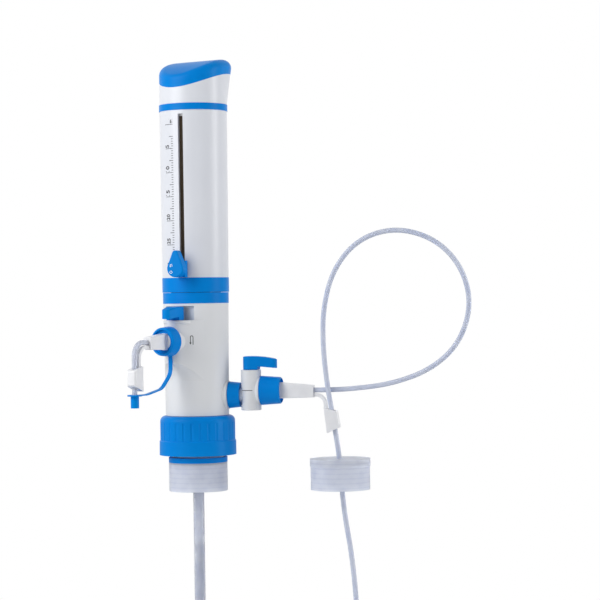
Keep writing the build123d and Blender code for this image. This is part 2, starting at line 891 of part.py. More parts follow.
# ------------------------------------------------------------------ volume setting
carriage_back_r = sleeve_high_r + face_gap
stem_back_r = sleeve_bore_r - face_gap
stem_half_width = slot_width / 2 - stem_side_gap
screw_hole_r = clamp_screw_r + running_gap
with BuildPart() as slider_carriage:
    with BuildSketch(plan_plane(slot_angle, carriage_low)):
        with Locations(((carriage_front_r + sleeve_bore_r) / 2, 0)):
            RectangleRounded(carriage_front_r - sleeve_bore_r, 2 * carriage_half_width, carriage_edge)
        Circle(carriage_back_r, mode=Mode.SUBTRACT)
    extrude(amount=carriage_high - carriage_low)
    with BuildSketch(plan_plane(slot_angle, scale_full_z - stem_half_height)):
        with Locations(((stem_back_r + carriage_front_r - 1) / 2, 0)):
            Rectangle(carriage_front_r - 1 - stem_back_r, 2 * stem_half_width)
    extrude(amount=2 * stem_half_height)
    with BuildSketch(radial_plane(slot_angle, scale_full_z)):
        Circle(screw_hole_r)
    extrude(amount=carriage_front_r + 1, mode=Mode.SUBTRACT)
save(slider_carriage, "slider_carriage")

shoe_back_r = stem_back_r - shoe_thickness
with BuildPart() as slider_clamp_shoe:
    with BuildSketch(plan_plane(slot_angle, scale_full_z - shoe_half_height)):
        with Locations((stem_back_r, 0)):
            Rectangle(2 * shoe_thickness, 2 * shoe_half_width)
        Circle(stem_back_r, mode=Mode.INTERSECT)
        Circle(shoe_back_r, mode=Mode.SUBTRACT)
    extrude(amount=2 * shoe_half_height)
    with BuildSketch(radial_plane(slot_angle, scale_full_z)):
        Circle(screw_hole_r)
    extrude(amount=stem_back_r + 1, mode=Mode.SUBTRACT)
save(slider_clamp_shoe, "slider_clamp_shoe")

with BuildPart() as slider_knob:
    with BuildSketch(radial_plane(slot_angle, scale_full_z, knob_back_r)):
        Circle(knob_r)
        with Locations((0, knob_tip_reach)):
            Circle(knob_tip_r)
        make_hull()
    extrude(amount=knob_front_r - knob_back_r)
    fillet(slider_knob.faces().sort_by(Axis((0, 0, 0), radial(slot_angle)))[-1].edges(), knob_edge)
    with BuildSketch(radial_plane(slot_angle, scale_full_z, carriage_front_r + face_gap)):
        Circle(knob_stem_r)
    extrude(amount=knob_back_r - carriage_front_r - face_gap)
    with BuildSketch(radial_plane(slot_angle, scale_full_z, carriage_front_r)):
        Circle(clamp_screw_r)
    extrude(amount=knob_back_r + clamp_screw_grip - carriage_front_r, mode=Mode.SUBTRACT)
save(slider_knob, "slider_knob")
screw_back = guard_r + screw_guard_gap
screw_front = knob_back_r + clamp_screw_grip
clamp_screw = radial_turned(
    [(screw_back, 0), (screw_back, clamp_screw_r), (screw_front, clamp_screw_r), (screw_front, 0)],
    slot_angle,
    scale_full_z,
)
save(clamp_screw, "slider_clamp_screw")


# ------------------------------------------------------------------ valve plugs and levers
def section_turned(angle, distance, height, turn):
    out = radial(angle)
    origin = (out[0] * distance, out[1] * distance, height)
    return Plane(origin=origin, x_dir=radial(angle + 90 + turn), z_dir=radial(angle + turn))


def make_plug(angle, distance, radius, floor, top, channel_z):
    with BuildPart() as plug:
        with BuildSketch(plan_plane(angle, floor + face_gap, distance)):
            Circle(radius)
        extrude(amount=top - floor - face_gap)
        with BuildSketch(plan_plane(angle, top, distance)):
            Circle(plug_stem_r)
        extrude(amount=face_gap + lever_height / 2)
        for turn in (0, 90):
            with BuildSketch(section_turned(angle, distance, channel_z, turn)):
                Circle(channel_r)
            extrude(amount=radius + 1, mode=Mode.SUBTRACT)
    return plug


def make_lever(angle, distance, base, turn=0.0):
    with BuildPart() as lever:
        with BuildSketch(plan_plane(angle, base, distance, turn)):
            Circle(lever_hub_r)
            with Locations((lever_reach - lever_tip_r, 0)):
                Circle(lever_tip_r)
            make_hull()
        extrude(amount=2 * lever_height)
        # the side view: a hub at the back and a handle with finger room under it
        with BuildSketch(section_plane(angle, base, distance, turn)):
            with BuildLine():
                back_top = (-lever_hub_r - 1, lever_height - lever_crown)
                front_top = (lever_reach + 1, lever_tip_top)
                ThreePointArc(back_top, (lever_hub_r / 3, lever_height), front_top)
                Polyline(
                    front_top,
                    (lever_reach + 1, lever_gap_tip),
                    (lever_hub_r + lever_gap_run, lever_gap_hub),
                    (lever_hub_r, -1),
                    (-lever_hub_r - 1, -1),
                    back_top,
                )
            make_face()
        extrude(amount=2 * lever_hub_r, both=True, mode=Mode.INTERSECT)
        fillet(lever.faces().sort_by(Axis.Z)[-1].edges(), lever_edge)
        with BuildSketch(plan_plane(angle, base, distance, turn)):
            Circle(plug_stem_r)
        extrude(amount=lever_height / 2, mode=Mode.SUBTRACT)
    return lever


recirculation_plug = make_plug(nozzle_angle, plug_distance, plug_r, plug_floor, neck_top, nozzle_z)
save(recirculation_plug, "recirculation_plug")
lever_turn = slot_angle - nozzle_angle  # at rest the front lever points the way the scale does
save(make_lever(nozzle_angle, plug_distance, neck_top + face_gap, lever_turn), "recirculation_lever")
stopcock_plug = make_plug(
    inlet_angle, stopcock_distance, stopcock_plug_r, stopcock_plug_floor, stopcock_high, inlet_z
)
save(stopcock_plug, "stopcock_plug")
save(make_lever(inlet_angle, stopcock_distance, stopcock_high + face_gap), "stopcock_lever")


# ------------------------------------------------------------------ nozzle nut, tether ring, discharge valve
def make_union_nut(angle, height, back, stub_end, back_r, front_r, ribs=0):
    flange_front = stub_end + union_flange_thickness + 2 * running_gap
    lip_front = flange_front + union_lip
    front = lip_front + union_cup
    with BuildPart() as nut:
        with BuildSketch(section_plane(angle, height)):
            with BuildLine():
                Polyline(
                    (back, stub_r + running_gap),
                    (back, back_r - nut_back_chamfer),
                    (back + nut_back_chamfer, back_r),
                    (front - nut_front_chamfer, front_r),
                    (front, front_r - nut_front_chamfer),
                    (front, nut_cup_r),
                    (lip_front, nut_cup_r),
                    (lip_front, union_neck_r + running_gap),
                    (flange_front, union_neck_r + running_gap),
                    (flange_front, stub_r + running_gap),
                    close=True,
                )
            make_face()
        revolve(axis=radial_axis(angle, height))
        if ribs:
            with BuildSketch(radial_plane(angle, height, back + nut_rib_margin)):
                with PolarLocations(back_r + nut_rib_r - inlet_nut_rib_depth, ribs):
                    Circle(nut_rib_r)
            extrude(amount=front - back - 2 * nut_rib_margin, mode=Mode.SUBTRACT)
    return nut


nozzle_nut = make_union_nut(
    nozzle_angle, nozzle_z, nozzle_nut_back, nozzle_stub_end, nozzle_nut_back_r, nozzle_nut_front_r
)
save(nozzle_nut, "nozzle_nut")
tether_ring = radial_ring(
    nozzle_angle, nozzle_z, stub_r + seat_gap, tether_ring_r, neck_front, neck_front + tether_ring_thickness
)
save(tether_ring, "tether_ring")

ball_seat = neck_front - stub_bore_sink
ball_centre = ball_seat + (discharge_ball_r**2 - channel_r**2) ** 0.5 + valve_slack
with BuildPart() as discharge_ball:
    with Locations((0, -ball_centre, nozzle_z)):
        Sphere(discharge_ball_r)
save(discharge_ball, "discharge_ball")
ball_shoulder = ball_centre + (discharge_ball_r**2 - spring_r**2) ** 0.5
spring_back = ball_shoulder + 1.5 * spring_wire_r
spring_length = nozzle_stub_end - spring_wire_r - spring_back
with BuildPart() as discharge_spring:
    with BuildLine():
        coil = Helix(
            spring_length / spring_turns,
            spring_length,
            spring_r,
            center=(0, -spring_back, nozzle_z),
            direction=(0, -1, 0),
        )
    with BuildSketch(Plane(origin=coil @ 0, z_dir=coil % 0)):
        Circle(spring_wire_r)
    sweep(path=coil, is_frenet=True)
save(discharge_spring, "discharge_spring")


# ------------------------------------------------------------------ spout arms
def make_arm(angle, height, stub_end, length, reach, collar_top, collar_low, lean, eye_r):
    flange_back = stub_end + running_gap
    lip_front = stub_end + union_flange_thickness + 2 * running_gap + union_lip
    root = lip_front + face_gap
    end = root + length
    eye = root + reach
    half_root = arm_root_height / 2
    half_end_low = half_root - arm_belly_rise
    half_end_high = arm_end_height - half_end_low
    flange = [
        (flange_back, 0),
        (flange_back, union_flange_r),
        (flange_back + union_flange_thickness, union_flange_r),
        (flange_back + union_flange_thickness, union_neck_r),
        (root, union_neck_r),
        (root, 0),
    ]
    # the curved spine, seen from the side
    spine_front = eye - collar_inner + spine_thickness / 2
    with BuildPart() as spine:
        with BuildSketch(section_plane(angle, height)):
            with BuildLine():
                FilletPolyline(
                    (end - spine_thickness, -spine_drop),
                    (spine_front - spine_splay, -spine_drop),
                    (spine_front, collar_top - spine_thickness),
                    radius=spine_bend_r,
                )
            trace(line_width=spine_thickness)
        extrude(amount=spine_width / 2, both=True)
    shift = tan(radians(lean)) * (collar_top - collar_low)
    with BuildPart() as collar:
        with BuildSketch(section_plane(angle, height)):
            with BuildLine():
                top_in = (eye - collar_inner, collar_top + collar_slant / 2)
                top_out = (eye + collar_outer, collar_top - collar_slant / 2)
                low_out = (eye + collar_outer, collar_low + collar_slant / 2)
                low_in = (eye - collar_inner, collar_low - collar_slant)
                Polyline(
                    top_in,
                    top_out,
                    (low_out[0] + shift, low_out[1]),
                    (low_in[0] + shift, low_in[1]),
                    close=True,
                )
            make_face()
        extrude(amount=collar_width / 2, both=True)
        outer_edges = collar.edges().group_by(Axis((0, 0, 0), radial(angle)))[-1]
        fillet(outer_edges, collar_edge)
    with BuildPart() as arm:
        with BuildSketch(section_plane(angle, height)):
            with BuildLine():
                Polyline(*flange, close=True)
            make_face()
        revolve(axis=radial_axis(angle, height))
        with BuildSketch(radial_plane(angle, height, root)):
            RectangleRounded(arm_width, arm_root_height, arm_edge)
        with BuildSketch(radial_plane(angle, height + (half_end_high - half_end_low) / 2, end)):
            RectangleRounded(arm_end_width, arm_end_height, arm_edge)
        loft()
        add(spine.part)
        add(collar.part)
        with BuildSketch(radial_plane(angle, height, stub_end)):
            Circle(tube_r + seat_gap)
        extrude(amount=end + tube_r - stub_end, mode=Mode.SUBTRACT)
        # the collar's eye, which leans with the collar
        eye_top = plan_plane(angle, height + collar_top, eye).origin
        eye_foot = plan_plane(angle, height + collar_low, eye + shift).origin
        with BuildSketch(Plane(origin=eye_foot, z_dir=eye_top - eye_foot)):
            Circle(eye_r)
        extrude(amount=eye_overrun, both=True, mode=Mode.SUBTRACT)
        with BuildSketch(Plane(origin=eye_foot, z_dir=eye_top - eye_foot)):
            Circle(eye_r)
        extrude(amount=collar_top - collar_low + eye_overrun, mode=Mode.SUBTRACT)
    return arm


nozzle_arm = make_arm(
    nozzle_angle,
    nozzle_z,
    nozzle_stub_end,
    nozzle_arm_length,
    nozzle_reach,
    nozzle_collar_top,
    nozzle_collar_low,
    nozzle_collar_lean,
    tube_r + seat_gap,
)
save(nozzle_arm, "nozzle_arm")

inlet_arm = make_arm(
    inlet_angle,
    inlet_z,
    inlet_stub_end,
    inlet_arm_length,
    inlet_reach,
    inlet_collar_top,
    inlet_collar_low,
    inlet_collar_lean,
    inlet_eye_r,
)
save(inlet_arm, "inlet_arm")

# ------------------------------------------------------------------ nozzle tube, cap and tether
nozzle_root = nozzle_stub_end + union_flange_thickness + 2 * running_gap + union_lip + face_gap
nozzle_eye = nozzle_root + nozzle_reach
tube_back = nozzle_stub_end + running_gap
with BuildPart() as nozzle_tube:
    with BuildLine() as nozzle_route:
        FilletPolyline(
            (0, -tube_back, nozzle_z),
            (0, -nozzle_eye, nozzle_z),
            (0, -nozzle_eye, nozzle_z + nozzle_tube_tip),
            radius=nozzle_tube_bend_r,
        )
    with BuildSketch(radial_plane(nozzle_angle, nozzle_z, tube_back)):
        Circle(tube_r)
        Circle(tube_bore_r, mode=Mode.SUBTRACT)
    sweep(path=nozzle_route.wires()[0])
save(nozzle_tube, "nozzle_tube")

cap_top = nozzle_z + cap_flange_top
cap_low = cap_top - cap_flange_thickness - cap_body_length
with BuildPart() as nozzle_cap:
    with BuildSketch(plan_plane(nozzle_angle, cap_low, nozzle_eye)):
        Circle(cap_body_r)
    extrude(amount=cap_body_length)
    with BuildSketch(plan_plane(nozzle_angle, cap_low + cap_body_length, nozzle_eye)):
        Circle(cap_flange_r)
    extrude(amount=cap_flange_thickness)
    with BuildSketch(plan_plane(nozzle_angle, cap_low + cap_floor, nozzle_eye)):
        Circle(tube_r + running_gap)
    extrude(amount=cap_top - cap_low, mode=Mode.SUBTRACT)
save(nozzle_cap, "nozzle_cap")

# the tether hangs from its ring and swings out to the cap's flange
tether_back = neck_front + tether_ring_thickness / 2
strap_z = cap_top - cap_flange_thickness / 2
with BuildPart() as tether_strap:
    with BuildSketch(section_plane(nozzle_angle)):
        with BuildLine():
            FilletPolyline(
                (tether_back, nozzle_z - tether_ring_r + tether_thickness),
                (tether_back, nozzle_z - tether_drop),
                (tether_back + tether_sag_out, nozzle_z - tether_sag),
                (tether_back + tether_rise_out, strap_z),
                (nozzle_eye - cap_flange_r + tether_thickness, strap_z),
                radius=tether_bends,
            )
        trace(line_width=tether_thickness)
    extrude(amount=tether_width / 2, both=True)
    with BuildSketch(radial_plane(nozzle_angle, nozzle_z, neck_front)):
        Circle(tether_ring_r)
    extrude(amount=2 * tether_ring_thickness, mode=Mode.SUBTRACT)
    with BuildSketch(plan_plane(nozzle_angle, strap_z, nozzle_eye)):
        Circle(cap_flange_r)
    extrude(amount=tether_thickness, both=True, mode=Mode.SUBTRACT)
save(tether_strap, "tether_strap")

# ------------------------------------------------------------------ side valve on the second inlet
coupling_ring_profile = [
    (coupling_back, coupling_spigot_r + running_gap),
    (coupling_back, coupling_ring_back_r),
    (coupling_front, coupling_ring_front_r),
    (coupling_front, coupling_neck_r + running_gap),
    (coupling_flange_front + running_gap, coupling_neck_r + running_gap),
    (coupling_flange_front + running_gap, coupling_spigot_r + running_gap),
]
save(radial_turned(coupling_ring_profile, inlet_angle, coupling_z), "side_coupling_ring")

stopcock_height = stopcock_high - stopcock_low
with BuildPart() as stopcock_body:
    with BuildSketch(plan_plane(inlet_angle, stopcock_low, stopcock_distance)):
        Circle(stopcock_r)
    extrude(amount=stopcock_height)
    fillet(stopcock_body.faces().sort_by(Axis.Z)[0].edges(), stopcock_edge)
    # neck and flange held by the coupling ring
    with BuildSketch(radial_plane(inlet_angle, coupling_z, coupling_seat)):
        Circle(coupling_neck_r)
    extrude(amount=stopcock_distance - coupling_seat)
    with BuildSketch(radial_plane(inlet_angle, coupling_z, coupling_seat)):
        Circle(coupling_spigot_r - running_gap)
    extrude(amount=coupling_flange_thickness)
    # cone and threaded stub towards the inlet nut
    with BuildSketch(section_plane(inlet_angle, inlet_z)):
        with BuildLine():
            Polyline(
                (stopcock_distance, 0),
                (stopcock_distance, flare_back_r),
                (stopcock_distance + flare_root, flare_back_r),
                (flare_front - flare_rim, flare_front_r),
                (flare_front, flare_front_r),
                (flare_front, stub_r),
                (inlet_stub_end, stub_r),
                (inlet_stub_end, 0),
                close=True,
            )
        make_face()
    revolve(axis=radial_axis(inlet_angle, inlet_z))
    with BuildSketch(plan_plane(inlet_angle, stopcock_plug_floor, stopcock_distance)):
        Circle(stopcock_plug_r + running_gap)
    extrude(amount=stopcock_high, mode=Mode.SUBTRACT)
    with BuildSketch(radial_plane(inlet_angle, coupling_z, coupling_seat)):
        Circle(channel_r)
    extrude(amount=stopcock_distance - coupling_seat, mode=Mode.SUBTRACT)
    with BuildSketch(radial_plane(inlet_angle, inlet_z, stopcock_distance)):
        Circle(channel_r)
    extrude(amount=inlet_stub_end - stopcock_distance, mode=Mode.SUBTRACT)
save(stopcock_body, "stopcock_body")

inlet_nut = make_union_nut(
    inlet_angle,
    inlet_z,
    flare_front + face_gap,
    inlet_stub_end,
    inlet_nut_back_r,
    inlet_nut_front_r,
    ribs=inlet_nut_ribs,
)
save(inlet_nut, "inlet_nut")

# ------------------------------------------------------------------ second bottle's adapter
second_centre = radial(inlet_angle)
second_plane = section_plane(inlet_angle, 0, second_distance)
second_axis = Axis((second_centre[0] * second_distance, second_centre[1] * second_distance, 0), (0, 0, 1))
second_profile = [
    (second_bore_r, second_seat),
    (second_bore_r, second_top),
    (second_lip_r, second_top),
    (second_lip_r, second_top - second_lip_height),
    (second_r, second_top - second_lip_height - second_lip_chamfer),
    (second_r, -second_skirt),
    (thread_major_r, -second_skirt),
    (thread_major_r, second_seat),
]
second_adapter = turned(second_profile, second_plane, second_axis)
with second_adapter:
    add(make_thread(thread_margin - adapter_skirt, plan_plane(inlet_angle, 0, second_distance)))
save(second_adapter, "second_adapter")
second_gasket_profile = [
    (adapter_bore_r, second_seat - gasket_thickness),
    (thread_major_r - face_gap, second_seat - gasket_thickness),
    (thread_major_r - face_gap, second_seat),
    (adapter_bore_r, second_seat),
]
save(turned(second_gasket_profile, second_plane, second_axis), "second_gasket")

# ------------------------------------------------------------------ the second inlet's tube
# Points are (outwards along the inlet, towards the front, up). The tube leaves the arm,
# rises in a wide loop, comes down in front of itself and goes through the arm's eye
# and the second bottle's adapter.
tube_route = [
    (90.0, 0.0, 62.0),
    (108.0, 0.0, 62.0),
    (131.7, -2.8, 62.7),
    (164.7, -3.0, 66.6),
    (197.7, -0.8, 78.2),
    (222.0, 3.0, 99.5),
    (232.8, 6.0, 131.0),
    (225.9, 8.0, 162.0),
    (204.5, 9.0, 185.5),
    (172.1, 9.0, 195.5),
    (140.7, 8.7, 187.0),
    (119.3, 8.4, 163.0),
    (109.9, 7.9, 131.0),
    (109.2, 7.3, 98.0),
    (111.9, 5.3, 66.5),
    (115.7, -0.3, 37.5),
    (120.7, -0.5, 5.0),
    (122.9, -0.6, -35.0),
    (130.5, -0.5, -80.0),
    (134.0, 0.0, -130.0),
    (136.0, 0.0, -180.0),
]
front = radial(inlet_angle - 90)
route_points = [
    Vector(second_centre[0] * out + front[0] * side, second_centre[1] * out + front[1] * side, up)
    for out, side, up in tube_route
]
route_radii = []
for before, here, after in zip(route_points, route_points[1:], route_points[2:]):
    turn = (here - before).get_angle(after - here)
    run = min((here - before).length, (after - here).length)
    route_radii.append(0.45 * run / tan(radians(turn) / 2))
print("tube bend radii:", [round(r) for r in route_radii])
with BuildPart() as inlet_tube:
    with BuildLine() as tube_path:
        FilletPolyline(*route_points, radius=route_radii)
    with BuildSketch(Plane(origin=route_points[0], z_dir=route_points[1] - route_points[0])):
        Circle(tube_r)
    sweep(path=tube_path.wires()[0])
tube_length = tube_path.wires()[0].length
swept_volume = pi * tube_r**2 * tube_length
print("tube length:", round(tube_length, 1))
print("volume ratio:", round(inlet_tube.part.volume / swept_volume, 4))
save(inlet_tube, "inlet_tube")
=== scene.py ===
from math import cos, degrees, radians, sin

import bmesh
import bpy
from mathutils import Matrix, Vector
from mathutils.bvhtree import BVHTree


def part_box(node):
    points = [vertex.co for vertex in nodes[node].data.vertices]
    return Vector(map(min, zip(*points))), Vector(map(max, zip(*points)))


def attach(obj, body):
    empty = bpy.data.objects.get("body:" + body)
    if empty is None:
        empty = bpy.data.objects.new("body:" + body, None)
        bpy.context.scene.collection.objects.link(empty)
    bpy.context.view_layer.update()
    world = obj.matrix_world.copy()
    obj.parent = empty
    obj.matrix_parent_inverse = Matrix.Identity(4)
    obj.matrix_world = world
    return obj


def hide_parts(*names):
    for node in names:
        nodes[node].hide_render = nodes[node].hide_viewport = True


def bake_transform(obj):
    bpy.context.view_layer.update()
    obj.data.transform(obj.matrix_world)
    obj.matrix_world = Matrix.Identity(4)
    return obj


# A bottle top dispenser. Metres, +Z up, the origin is the centre of the bottle's rim.
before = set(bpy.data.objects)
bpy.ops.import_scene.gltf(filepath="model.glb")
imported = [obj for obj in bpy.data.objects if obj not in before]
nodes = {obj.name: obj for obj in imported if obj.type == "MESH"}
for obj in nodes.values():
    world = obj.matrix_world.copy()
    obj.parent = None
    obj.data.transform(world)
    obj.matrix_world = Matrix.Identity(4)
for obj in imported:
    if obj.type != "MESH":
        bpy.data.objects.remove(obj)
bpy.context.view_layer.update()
mm = 0.001
print("frame loaded with", len(nodes), "nodes")

# directions, degrees from +X
directions = {"inlet": 21.0, "slot": -78.0, "camera": -58.0}


def outwards(angle):
    return Vector((cos(radians(angle)), sin(radians(angle)), 0))


# ---- materials ----
evenScatter = (1.0, 1.0, 1.0)  # light goes equally far in whatever its colour


def linear(hexColour):
    parts = [int(hexColour[i:i + 2], 16) / 255 for i in (1, 3, 5)]
    return [p / 12.92 if p <= 0.04045 else ((p + 0.055) / 1.055) ** 2.4 for p in parts] + [1.0]


def addNode(tree, kind, settings=None, links=None):
    # settings name a property or an input; links give an input the node and output that feed it
    node = tree.nodes.new(kind)
    for key, value in (settings or {}).items():
        if hasattr(node, str(key)):
            setattr(node, key, value)
        else:
            node.inputs[key].default_value = value
    for key, (source, output) in (links or {}).items():
        tree.links.new(source.outputs[output], node.inputs[key])
    return node


def newMaterial(name, shaderSettings):
    # a principled shader on Object coordinates, ready for its own texture nodes
    material = bpy.data.materials.new(name)
    material.use_nodes = True
    tree = material.node_tree
    tree.nodes.clear()
    shader = addNode(tree, "ShaderNodeBsdfPrincipled", shaderSettings)
    addNode(tree, "ShaderNodeOutputMaterial", links={"Surface": (shader, "BSDF")})
    coordinates = addNode(tree, "ShaderNodeTexCoord")
    return material, tree, shader, coordinates


def addTone(tree, shader, coordinates, tone):
    # slow cloudy change between two near colours, as thick and thin moulding gives
    cloud = addNode(tree, "ShaderNodeTexNoise", {"Scale": 1 / tone["size"], "Detail": 2.0},
                    {"Vector": (coordinates, "Object")})
    ramp = addNode(tree, "ShaderNodeValToRGB", links={"Fac": (cloud, "Fac")})
    ramp.color_ramp.elements[0].position = 0.3
    ramp.color_ramp.elements[1].position = 0.7
    ramp.color_ramp.elements[0].color = linear(tone["dark"])
    ramp.color_ramp.elements[1].color = linear(tone["light"])
    tree.links.new(ramp.outputs["Color"], shader.inputs["Base Color"])


def addSkin(tree, shader, coordinates, skin):
    # the fine skin of the mould: uneven gloss, and a low relief that breaks up highlights
    grain = addNode(tree, "ShaderNodeTexNoise", {"Scale": 1 / skin["grain"], "Detail": 3.0},
                    {"Vector": (coordinates, "Object")})
    gloss = addNode(tree, "ShaderNodeMapRange",
                    {"To Min": skin["smooth"], "To Max": skin["rough"]}, {"Value": (grain, "Fac")})
    relief = addNode(tree, "ShaderNodeBump", {"Strength": skin["relief"], "Distance": skin["depth"]},
                     {"Height": (grain, "Fac")})
    tree.links.new(gloss.outputs["Result"], shader.inputs["Roughness"])
    tree.links.new(relief.outputs["Normal"], shader.inputs["Normal"])


def makeGlossWhite():
    # ABS, injection moulded in a polished tool: cool white with a soft mirror over it
    material, tree, shader, coordinates = newMaterial(
        "white ABS", {"IOR": 1.53, "Specular IOR Level": 0.4, "Coat Weight": 0.1, "Coat Roughness": 0.2})
    addTone(tree, shader, coordinates, {"size": 90 * mm, "dark": "#DBDEE6", "light": "#E2E5EC"})
    addSkin(tree, shader, coordinates,
            {"grain": 1.6 * mm, "smooth": 0.28, "rough": 0.38, "relief": 0.2, "depth": 0.02 * mm})
    return material


def makeGreyBody():
    # polypropylene with talc, moulded: a neutral off-white that is more satin than the housing
    material, tree, shader, coordinates = newMaterial(
        "white polypropylene", {"IOR": 1.49, "Specular IOR Level": 0.35})
    addTone(tree, shader, coordinates, {"size": 70 * mm, "dark": "#E0E2E5", "light": "#E7E9EC"})
    addSkin(tree, shader, coordinates,
            {"grain": 0.9 * mm, "smooth": 0.38, "rough": 0.50, "relief": 0.25, "depth": 0.02 * mm})
    return material


def makeBlue():
    # blue masterbatch ABS, moulded: saturated and glossy, slightly deeper where it is thick
    material, tree, shader, coordinates = newMaterial("blue ABS", {"IOR": 1.53, "Specular IOR Level": 0.06})
    addTone(tree, shader, coordinates, {"size": 40 * mm, "dark": "#0080D8", "light": "#0088DE"})
    addSkin(tree, shader, coordinates,
            {"grain": 0.8 * mm, "smooth": 0.28, "rough": 0.40, "relief": 0.25, "depth": 0.02 * mm})
    return material


def makeMilkyArm():
    # natural polypropylene, moulded: light goes a little way in, so it looks milky at its edges
    material, tree, shader, coordinates = newMaterial(
        "natural polypropylene", {"IOR": 1.49, "Subsurface Weight": 0.3, "Subsurface Scale": 1.0 * mm,
                                  "Subsurface Radius": evenScatter})
    addTone(tree, shader, coordinates, {"size": 12 * mm, "dark": "#E9EAEE", "light": "#F1F2F5"})
    addSkin(tree, shader, coordinates,
            {"grain": 0.7 * mm, "smooth": 0.28, "rough": 0.42, "relief": 0.3, "depth": 0.03 * mm})
    return material


threadLines = {"pitch": 4 * mm, "edge": 1.2 * mm, "depth": 0.3}


def makeAdapter():
    # frosted polypropylene, 1.8 mm thick: the thread inside shows as soft level lines, 4 mm apart
    material, tree, shader, coordinates = newMaterial(
        "frosted polypropylene", {"IOR": 1.15, "Transmission Weight": 0.45})
    cloud = addNode(tree, "ShaderNodeTexNoise", {"Scale": 1 / (9 * mm), "Detail": 2.0},
                    {"Vector": (coordinates, "Object")})
    place = addNode(tree, "ShaderNodeSeparateXYZ", links={"Vector": (coordinates, "Object")})
    turns = addNode(tree, "ShaderNodeMath", {"operation": "PINGPONG", 1: threadLines["pitch"] / 2},
                    {0: (place, "Z")})
    line = addNode(tree, "ShaderNodeMapRange",
                   {"From Min": threadLines["edge"], "From Max": threadLines["pitch"] / 2,
                    "To Max": threadLines["depth"]}, {"Value": (turns, "Value")})
    tone = addNode(tree, "ShaderNodeMath", {"operation": "SUBTRACT"}, {0: (cloud, "Fac"), 1: (line, "Result")})
    ramp = addNode(tree, "ShaderNodeValToRGB", links={"Fac": (tone, "Value")})
    ramp.color_ramp.elements[0].position = 0.0
    ramp.color_ramp.elements[1].position = 0.6
    ramp.color_ramp.elements[0].color = linear("#D3D9EA")
    ramp.color_ramp.elements[1].color = linear("#EAEEF8")
    tree.links.new(ramp.outputs["Color"], shader.inputs["Base Color"])
    addSkin(tree, shader, coordinates,
            {"grain": 2.4 * mm, "smooth": 0.30, "rough": 0.42, "relief": 0.15, "depth": 0.02 * mm})
    return material


def makeTubing():
    # extruded FEP tube: cloudy, slightly violet, with faint lines along the draw
    material, tree, shader, coordinates = newMaterial(
        "FEP tubing", {"IOR": 1.34, "Transmission Weight": 0.25, "Subsurface Weight": 0.2,
                       "Subsurface Scale": 1.0 * mm, "Subsurface Radius": evenScatter})
    addTone(tree, shader, coordinates, {"size": 9 * mm, "dark": "#CBD3E9", "light": "#DBE1F0"})
    addSkin(tree, shader, coordinates,
            {"grain": 0.6 * mm, "smooth": 0.14, "rough": 0.26, "relief": 0.3, "depth": 0.02 * mm})
    return material


def makeClearTube():
    # thin FEP liner: clear enough to show its bore
    material, tree, shader, coordinates = newMaterial(
        "clear FEP", {"IOR": 1.34, "Transmission Weight": 0.6})
    addTone(tree, shader, coordinates, {"size": 9 * mm, "dark": "#DDE2F0", "light": "#EDF0F8"})
    addSkin(tree, shader, coordinates,
            {"grain": 0.6 * mm, "smooth": 0.08, "rough": 0.18, "relief": 0.2, "depth": 0.02 * mm})
    return material


def makeGlass():
    # drawn borosilicate glass: clear, with very slight draw lines
    material, tree, shader, coordinates = newMaterial(
        "borosilicate glass", {"IOR": 1.47, "Transmission Weight": 1.0})
    addTone(tree, shader, coordinates, {"size": 60 * mm, "dark": "#F0F4F4", "light": "#FFFFFF"})
    addSkin(tree, shader, coordinates,
            {"grain": 5 * mm, "smooth": 0.02, "rough": 0.05, "relief": 0.1, "depth": 0.02 * mm})
    return material


def makeSmokedGuard():
    # smoked brown polycarbonate sleeve, which keeps light from the liquid
    material, tree, shader, coordinates = newMaterial(
        "smoked polycarbonate", {"IOR": 1.58, "Specular IOR Level": 0.3})
    addTone(tree, shader, coordinates, {"size": 80 * mm, "dark": "#7A6C58", "light": "#93816F"})
    addSkin(tree, shader, coordinates,
            {"grain": 3 * mm, "smooth": 0.14, "rough": 0.24, "relief": 0.15, "depth": 0.02 * mm})
    return material


def makeFluoropolymer():
    # machined PTFE: dense waxy white with fine tool marks
    material, tree, shader, coordinates = newMaterial(
        "machined PTFE", {"IOR": 1.38, "Subsurface Weight": 0.3, "Subsurface Scale": 1.0 * mm,
                          "Subsurface Radius": evenScatter})
    addTone(tree, shader, coordinates, {"size": 15 * mm, "dark": "#E2E2E0", "light": "#ECECEA"})
    addSkin(tree, shader, coordinates,
            {"grain": 0.4 * mm, "smooth": 0.38, "rough": 0.52, "relief": 0.4, "depth": 0.02 * mm})
    return material


def makeSeal():
    # translucent silicone: soft, pale and nearly matt
    material, tree, shader, coordinates = newMaterial(
        "silicone seal", {"IOR": 1.41, "Subsurface Weight": 0.3, "Subsurface Scale": 1.0 * mm,
                          "Subsurface Radius": evenScatter})
    addTone(tree, shader, coordinates, {"size": 10 * mm, "dark": "#CFCFD2", "light": "#DCDCDE"})
    addSkin(tree, shader, coordinates,
            {"grain": 0.5 * mm, "smooth": 0.5, "rough": 0.65, "relief": 0.3, "depth": 0.02 * mm})
    return material


def makeSteel():
    # ground stainless rod: grey metal with a fine directional grind
    material, tree, shader, coordinates = newMaterial("ground stainless steel", {"Metallic": 1.0})
    addTone(tree, shader, coordinates, {"size": 25 * mm, "dark": "#9A9CA0", "light": "#B4B6BA"})
    addSkin(tree, shader, coordinates,
            {"grain": 0.5 * mm, "smooth": 0.22, "rough": 0.36, "relief": 0.2, "depth": 0.01 * mm})
    return material


